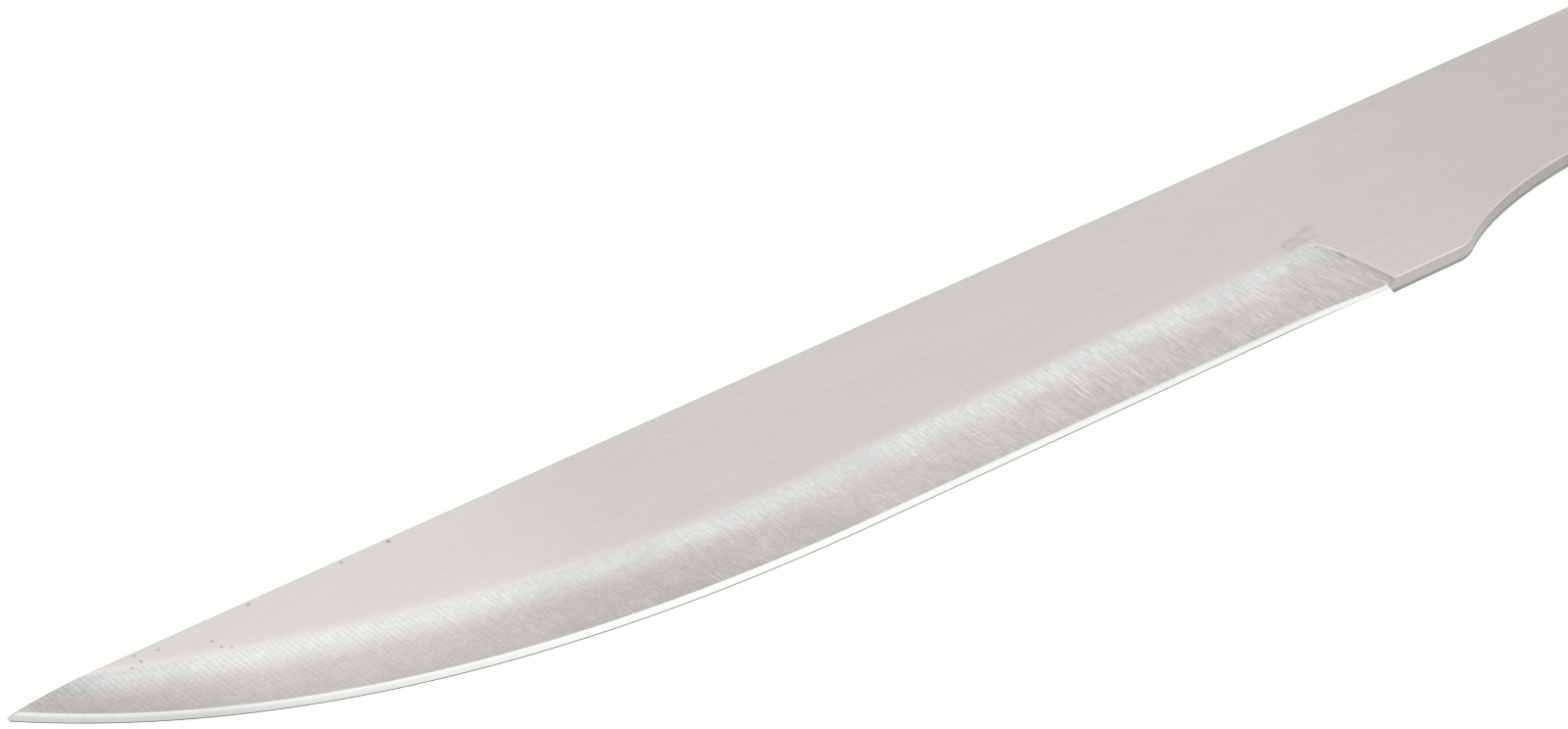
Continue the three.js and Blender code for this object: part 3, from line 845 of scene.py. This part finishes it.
def wheel_marks(place, slanted, along_lines, from_heel, low, speckle):
    """Tone and relief of the hollow, which the wheel scored crosswise, with painted light and shade along
    it.
    """
    heelward = from_heel.fade_mm(-75, -45)
    belly = from_heel.fade_mm(-68, -95)
    fore = from_heel.fade_mm(-105, -138)
    tip = from_heel.fade_mm(-146, -164)
    end = from_heel.fade_mm(-161, -170)
    scored = grain(slanted, (0.17, 2.4, 30))
    streaks = grain(slanted, (0.5, 2.4, 30))
    patch = grain(place, (7, 3, 30), 3)
    worn = patch.fade(-0.15, 0.15) * (1 - fore)
    bright_lines = grain(slanted, (0.14, 2.2, 30), 1).fade(0.1, 0.2) * worn
    wander = grain(place, (18, 80, 80))
    ripple = ((along_lines / RIPPLE_STEP + wander * 1.6) * math.tau).sine()
    ripples = ripple * (0.006 + fore * (0.042 - low * 0.022) + worn * 0.012)
    lines = scored * (0.24 + heelward * 0.34 - fore * 0.05) + streaks * (0.04 + worn * 0.14)
    texture = lines + speckle * 0.3 + ripples + patch * 0.16 + bright_lines * 0.3
    # Painted light and shade along the hollow: lighter in its upper part near the heel and in its fore
    # part, darker low down from the belly on, and darker again at the tip and the point
    painted_light_along_hollow = (heelward * (0.05 - low * 0.05) + low * (0.02 - belly * 0.12) + fore * 0.09
                   - tip * 0.16 - end * (0.24 - low * 0.14))
    return 1.0 + texture + painted_light_along_hollow, scored + streaks * worn + ripples * 4


def painted_plunge_light_and_shade(shape, from_heel, y, depth, ground):
    """Painted light and shade at the plunge: a painted highlight on the wall, and painted shade in the
    crease at its foot, on its rounded rim and on the hollow beside it, all added to the tone.
    """
    bevel, grind = shape.blade.bevel_heel_width, shape.blade.grind_height
    height = y - shape.edge
    plunge = from_heel + shape.wall_lean(y - shape.base)
    off_wall = plunge * -shape.wall_slope - depth
    above_foot = shape.hollow_depth(y - shape.base, bevel, bevel, grind) - depth
    wall = off_wall.fade_mm(0.1, 0.03) * above_foot.fade_mm(-0.02, 0.1)
    # Painted highlight on the plunge wall
    painted_wall_highlight = depth.fade_mm(0.05, 0.2) * 0.22 + depth.fade_mm(0.15, 0.6) * 0.42
    # Painted shade: in the crease at the wall's foot, on the rolled rim above it, on the hollow right
    # beside the wall and on the upper hollow near the heel
    painted_crease_shade = off_wall.fade_mm(0.3, 0.1) * plunge.fade_mm(0.35, 0.1) * height.fade(grind, 0.8 * grind)
    rim = plunge.fade_mm(-1.4, -0.7) * height.fade(0.7 * grind, 0.85 * grind) * depth.fade_mm(0, 0.03)
    corner = plunge.fade_mm(-3.2, -1.0)
    upper = from_heel.fade_mm(-14, -6) * height.fade(0.55 * grind, 0.75 * grind)
    return wall * painted_wall_highlight - painted_crease_shade * 0.12 - rim * 0.13 - (corner * 0.06 + upper * 0.08) * ground


def satin_steel(shape, finish):
    """Faces of the blade: the flats, the hollow below them and their wear, with painted light and shade
    along the blade, on the lower hollow and at the plunge.
    """
    material, place, (x, y, z) = start_material("Satin steel")
    from_heel = x - shape.heel
    along_lines = x + y * LINE_SLANT
    slanted = place.node("ShaderNodeCombineXYZ", None, {0: along_lines, 1: y, 2: z})
    depth = PLATE_HALF - abs(z - PLATE_MIDDLE)
    ground = depth.fade_mm(0.02, 0.1)
    # The deeper, lower part of the hollow, which is darkened as painted shade
    low = depth.fade_mm(0.2, 0.6)
    speckle = grain(place, (0.8, 0.3, 8))
    cloud = grain(place, (24, 9, 8))
    flat_tone, brushed = brushed_flats(place, from_heel, speckle, cloud)
    ground_tone, scored = wheel_marks(place, slanted, along_lines, from_heel, low, speckle)
    # Painted light and shade at the plunge
    plunge = painted_plunge_light_and_shade(shape, from_heel, y, depth, ground)
    tone = flat_tone + (ground_tone - flat_tone) * ground + plunge
    # The lower hollow takes the darker colour as painted shade, and the tone brings in painted light and
    # shade along the blade and at the plunge
    steel = low.mix(ground.mix(finish.flat_steel, finish.band_steel), finish.painted_shade_hollow_steel).scaled(tone)
    scratches = marks(slanted, shape, HOLLOW_SCRATCHES, LINE_SLANT, SCRATCH_DEPTH) * 1.5
    stains = marks(place, shape, HEEL_STAINS) * 0.45
    pits = marks(place, shape, POINT_PITS) * (0.62 + speckle * 1.6)
    marked = scratches.mix(stains.mix(steel, finish.stain), finish.scratch)
    relief = brushed + (scored - brushed) * ground - pits * 2
    rough = finish.flat_roughness + (finish.ground_roughness - finish.flat_roughness) * ground
    return end_material(material, {
        "Base Color": pits.mix(marked, finish.pit),
        "Metallic": 1.0,
        "Roughness": rough + brushed * 0.08 + cloud * 0.06 + pits * 0.3,
        "Normal": bump(relief, 0.005),
    })


def honed_steel(shape, finish):
    """The sharpened bevel, darker towards the point and the heel, and the blunt line at the very edge,
    painted almost black as shade.
    """
    material, place, (x, _, z) = start_material("Honed edge")
    from_heel = x - shape.heel
    off_middle = abs(z - PLATE_MIDDLE)
    land = shape.blade.edge_land / 2
    at_heel = from_heel.fade_mm(-90, -10)
    at_point = from_heel.fade_mm(-95, -150)
    at_tip = from_heel.fade_mm(-144, -160)
    under = off_middle.fade_mm(0.34, 0.16)
    # The blunt line at the very edge is painted almost black as shade, less so near the heel
    blunt = off_middle.fade(1.15 * land, land) * (1 - 0.7 * from_heel.fade_mm(-16, -4))
    lines = grain(place, (0.2, 4, 4))
    cloud = grain(place, (7, 3, 3))
    # Darker towards the point and the tip, most near the edge, and darker towards the heel, most away from
    # the edge
    dulled = at_point * (0.04 + 0.16 * under) + at_tip * (0.09 + 0.05 * under)
    tone = 1 + lines * 0.08 + cloud * 0.06 - dulled - at_heel * (0.26 - 0.22 * under)
    return end_material(material, {
        "Base Color": blunt.mix(finish.honed_steel, finish.painted_shade_edge_steel).scaled(tone),
        "Metallic": 1.0,
        "Roughness": 0.24 + cloud * 0.1,
        "Normal": bump(lines, 0.003),
    })


def sheared_steel(shape, finish):
    """Edges of the plate: smooth where the shear cut, rougher where the plate then broke near the lower
    face, with painted shade darkening that strip and the plate from the ricasso's corner back.
    """
    material, place, (x, _, z) = start_material("Sheared plate edge")
    upright = grain(place, (0.3, 0.3, 3))
    along = grain(place, (12, 12, 0.2))
    # Near the lower face: the rougher fracture zone, also darkened as painted shade for the dark line
    # under the plate
    fracture_and_painted_shade = (z - BLADE_LOW.z + along * (0.3 * MM)).fade_mm(0.75, 0.3)
    # Painted shade from the ricasso's corner back along the sweep and the neck
    painted_sweep_shade = (x - shape.heel).fade_mm(9, 18)
    light = 0.57 + upright * 0.25 + along * 0.25 - fracture_and_painted_shade * 0.9 - painted_sweep_shade * 0.38
    return end_material(material, {
        "Base Color": light.mix(shade(finish.sheared_steel, 0.75), shade(finish.sheared_steel, 1.25)),
        "Metallic": 1.0,
        "Roughness": 0.42 + along * 0.14 + fracture_and_painted_shade * 0.2,
        "Normal": bump(upright + along, 0.008),
    })


def oiled_wood(finish):
    """Hardwood along X: growth rings round a heart beside the plank, fibres and open pores."""
    material, place, (_, y, z) = start_material("Oiled hardwood")
    warp = grain(place, (70, 11, 11), 3)
    radius = ((y - HEART_Y) ** 2 + (z - HEART_Z) ** 2) ** 0.5
    ring = (radius / RING_WIDTH + warp * 3.2).fraction()
    late = ring.fade(0.25, 0.95) * ring.fade(1.0, 0.94)
    fibre = grain(place, (17, 0.28, 0.28), 3)
    figure = grain(place, (38, 5, 5), 3)
    pores = grain(place, (4.2, 0.2, 0.2), 1).fade(0.12, 0.22)
    dark = (late * 0.55 + 0.25 + fibre * 0.9 + figure * 0.8).fade(0.0, 1.0)
    return end_material(material, {
        "Base Color": (pores * 0.75).mix(dark.mix(finish.wood_light, finish.wood_dark), finish.wood_pore),
        "Roughness": finish.wood_roughness + fibre * 0.16 + pores * 0.16 - figure * 0.1,
        "Normal": bump(fibre * 0.35 - pores * 0.7 + late * 0.15, 0.05),
        "Coat Weight": 0.06,
        "Coat Roughness": 0.3,
    })


def sanded_brass(finish):
    """Brass sanded flush with the wood: fine lines along X and dulled patches."""
    material, place, _ = start_material("Sanded brass")
    lines = grain(place, (9, 0.16, 0.6))
    cloud = grain(place, (3, 3, 3), 3)
    dull = (cloud + lines * 0.4).fade(-0.05, 0.35) * 0.6
    return end_material(material, {
        "Base Color": dull.mix(finish.brass, finish.brass_tarnish),
        "Metallic": 1.0,
        "Roughness": finish.brass_roughness + dull * 0.2 + lines * 0.12,
        "Normal": bump(lines, 0.006),
    })


def pale_floor(stage):
    """Matt pale floor that glows a little, so that shadows stay faint."""
    material, place, _ = start_material("Pale floor")
    cloud = grain(place, (400, 400, 400))
    return end_material(material, {
        "Base Color": (cloud + 0.5).mix(stage.floor_colour, shade(stage.floor_colour, 0.99)),
        "Roughness": 0.9,
        "Emission Color": (1.0, 1.0, 1.0, 1.0),
        "Emission Strength": stage.floor_glow,
    })


class KNIFE_OT_blade(bpy.types.Operator):
    """Build the blade with its ricasso, neck and tang"""

    bl_idname = "knife.blade"
    bl_label = "Blade"
    bl_options = {"REGISTER", "UNDO"}

    def execute(self, context):
        scene = context.scene
        shape = BladeShape(scene.knife_blade, scene.knife_handle)
        rings = shape.rings()
        finish = scene.knife_finish
        materials = [satin_steel(shape, finish), honed_steel(shape, finish), sheared_steel(shape, finish)]
        blade = mesh_object("knife_blade", np.vstack(rings), skin(rings), materials, shape.finishes(rings))
        low, high = PLATE_MIDDLE - 2 * PLATE_HALF, PLATE_MIDDLE + 2 * PLATE_HALF
        cut(blade, [bore("tang_bore", centre, [(radius, low), (radius, high)])
                    for centre, radius, *_ in fastener_seats(scene.knife_fasteners)])
        crisp(blade, weighted=False)
        settle(blade, "blade_steel", "blade")
        return {"FINISHED"}


class KNIFE_OT_scales(bpy.types.Operator):
    """Build the two wooden scales"""

    bl_idname = "knife.scales"
    bl_label = "Scales"
    bl_options = {"REGISTER", "UNDO"}

    def execute(self, context):
        scene = context.scene
        handle = scene.knife_handle
        outline = GripLines(scene.knife_blade, handle).outline()
        wood = oiled_wood(scene.knife_finish)
        radius = handle.edge_radius
        levels = [(handle.seam_ease, PLATE_HALF), (0.0, PLATE_HALF + handle.seam_ease),
                  *quarter_round(0.0, SCALE_HALF, -radius, radius, SCALE_ROUND_STEPS)]
        for name, side in (("top", 1), ("bottom", -1)):
            rings = []
            for distance, level in levels:
                drawn = inset(outline, distance)
                rings.append(np.column_stack([drawn, np.full(len(drawn), PLATE_MIDDLE + side * level)]))
            if side < 0:
                rings.reverse()
            scale = mesh_object(f"wood_scale_{name}", np.vstack(rings), skin(rings), [wood])
            cut(scale, self.cutters(scene, side))
            crisp(scale)
            settle(scale, "handle_wood", f"scale_{name}")
        return {"FINISHED"}

    def cutters(self, scene, side):
        """Stepped bores for the rivets and the eyelet."""
        handle = scene.knife_handle
        ease_by = handle.bore_ease
        made = []
        for centre, hole, head, seat in fastener_seats(scene.knife_fasteners):
            mouth = head + handle.head_gap
            stages = [(hole, 0.0), (hole, seat), (mouth, seat), (mouth, SCALE_HALF - ease_by),
                      (mouth + 2 * ease_by, SCALE_HALF + ease_by)]
            placed = [(radius, PLATE_MIDDLE + side * level) for radius, level in stages]
            made.append(bore("scale_bore", centre, placed))
        return made


class KNIFE_OT_rivets(bpy.types.Operator):
    """Build the two-piece rivets"""

    bl_idname = "knife.rivets"
    bl_label = "Rivets"
    bl_options = {"REGISTER", "UNDO"}

    def execute(self, context):
        scene = context.scene
        fasteners = scene.knife_fasteners
        brass = sanded_brass(scene.knife_finish)
        for name in RIVET_NAMES:
            for half, profile in (("post", self.post), ("sleeve", self.sleeve)):
                node = f"rivet_{name}_{half}"
                brass_piece(node, profile(fasteners, *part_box(node)), brass)
        return {"FINISHED"}

    def post(self, fasteners, low, high):
        """Profile of the solid half, with its head above."""
        head = (high.x - low.x) / 2
        shank = fasteners.post_diameter / 2
        chamfer = fasteners.head_chamfer
        seat = high.z - fasteners.head_thickness
        return [(0, low.z), (shank - chamfer, low.z), (shank, low.z + chamfer), (shank, seat),
                (head, seat), *quarter_round(head, high.z, chamfer, chamfer, HEAD_ROUND_STEPS),
                (0, high.z)]

    def sleeve(self, fasteners, low, high):
        """Profile of the hollow half, with its head below."""
        head = (high.x - low.x) / 2
        tube = fasteners.sleeve_diameter / 2
        inside = fasteners.post_diameter / 2 + fasteners.post_clearance
        chamfer = fasteners.head_chamfer
        seat = low.z + fasteners.head_thickness
        corner = quarter_round(head, low.z, chamfer, -chamfer, HEAD_ROUND_STEPS)
        return [(0, low.z), *reversed(corner), (head, seat), (tube, seat), (tube, high.z - chamfer),
                (tube - chamfer, high.z), (inside, high.z), (inside, seat), (0, seat)]


class KNIFE_OT_eyelet(bpy.types.Operator):
    """Build the flanged eyelet that lines the hanging hole"""

    bl_idname = "knife.eyelet"
    bl_label = "Eyelet"
    bl_options = {"REGISTER", "UNDO"}

    def execute(self, context):
        fasteners = context.scene.knife_fasteners
        node = "hang_eyelet"
        low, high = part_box(node)
        flange = (high.x - low.x) / 2
        bore_radius = fasteners.eyelet_bore / 2
        tube = bore_radius + fasteners.eyelet_wall
        seat = high.z - fasteners.flange_thickness
        chamfer, rounding = fasteners.head_chamfer, fasteners.mouth_rounding
        corner = quarter_round(flange, high.z, chamfer, chamfer, HEAD_ROUND_STEPS)
        mouth = quarter_round(bore_radius, high.z, -rounding, rounding, MOUTH_ROUND_STEPS)
        top = [(tube, seat), (flange, seat), *corner, *reversed(mouth)]
        bottom = [(radius, low.z + high.z - level) for radius, level in reversed(top)]
        brass_piece(node, top + bottom, sanded_brass(context.scene.knife_finish))
        return {"FINISHED"}


class KNIFE_OT_stage(bpy.types.Operator):
    """Set the camera, the light and the floor"""

    bl_idname = "knife.stage"
    bl_label = "Stage"
    bl_options = {"REGISTER", "UNDO"}

    def execute(self, context):
        scene = context.scene
        stage = scene.knife_stage
        heel = BLADE_LOW.x + scene.knife_blade.blade_length
        aim = Vector((heel - stage.aim_ahead, BLADE_LOW.y + stage.aim_height, BLADE_HIGH.z))
        self.camera(scene, stage, aim)
        self.floor(stage)
        self.dome(scene, stage)
        scene.view_settings.view_transform = "Standard"
        return {"FINISHED"}

    def camera(self, scene, stage, aim):
        back = compass(stage.camera_azimuth, stage.camera_elevation)
        lens = bpy.data.cameras.new("Camera")
        lens.sensor_width = SENSOR_WIDTH
        lens.lens = stage.camera_lens
        camera = bpy.data.objects.new("Camera", lens)
        camera.location = aim + back * stage.camera_distance
        camera.rotation_mode = "QUATERNION"
        camera.rotation_quaternion = (-back).to_track_quat("-Z", "Y")
        scene.collection.objects.link(camera)
        scene.camera = camera

    def floor(self, stage):
        half = stage.floor_size / 2
        level = FLOOR_LEVEL - FLOOR_GAP
        corners = [(-half, -half, level), (half, -half, level), (half, half, level), (-half, half, level)]
        floor = mesh_object("floor", corners, [(0, 1, 2, 3)], [pale_floor(stage)])

    def dome(self, scene, stage):
        """Soft light all round that grows towards overhead, where the camera's own shade dims it again."""
        world = bpy.data.worlds.new("Soft dome")
        world.use_nodes = True
        world.node_tree.nodes.clear()
        scene.world = world
        shader = Socket(world.node_tree)
        direction = shader.node("ShaderNodeTexCoord", output="Generated")
        from_overhead = shader.node("ShaderNodeSeparateXYZ", None, {0: direction}, "Z").arccosine()
        gain = stage.glow_level - stage.shade_level
        glow = from_overhead.fade(stage.glow_reach, stage.glow_core) * gain
        dip = from_overhead.fade(stage.dip_reach, stage.glow_core) * stage.dip_depth
        light = shader.node("ShaderNodeBackground", None,
                            {"Color": stage.shade_level + glow - dip, "Strength": stage.dome_strength})
        shader.node("ShaderNodeOutputWorld", None, {"Surface": light})


class KNIFE_PT_panel(bpy.types.Panel):
    """Operators and settings of the knife"""

    bl_idname = "KNIFE_PT_panel"
    bl_label = "Barbecue knife"
    bl_space_type = "VIEW_3D"
    bl_region_type = "UI"
    bl_category = "Knife"

    def draw(self, context):
        for operator in OPERATORS:
            self.layout.operator(operator.bl_idname)
        for name, group in SETTINGS.items():
            box = self.layout.box()
            for field in group.__annotations__:
                box.prop(getattr(context.scene, name), field)


SETTINGS = {
    "knife_blade": BladeSettings,
    "knife_handle": HandleSettings,
    "knife_fasteners": FastenerSettings,
    "knife_finish": FinishSettings,
    "knife_stage": StageSettings,
}
OPERATORS = (KNIFE_OT_blade, KNIFE_OT_scales, KNIFE_OT_rivets, KNIFE_OT_eyelet, KNIFE_OT_stage)
CLASSES = (*SETTINGS.values(), *OPERATORS, KNIFE_PT_panel)


def register():
    for made_class in CLASSES:
        bpy.utils.register_class(made_class)
    for name, group in SETTINGS.items():
        setattr(bpy.types.Scene, name, PointerProperty(type=group))


def unregister():
    for name in SETTINGS:
        delattr(bpy.types.Scene, name)
    for made_class in reversed(CLASSES):
        bpy.utils.unregister_class(made_class)


def main():
    register()
    bpy.ops.knife.stage()
    bpy.ops.knife.blade()
    bpy.ops.knife.scales()
    bpy.ops.knife.rivets()
    bpy.ops.knife.eyelet()


if __name__ == "__main__":
    main()
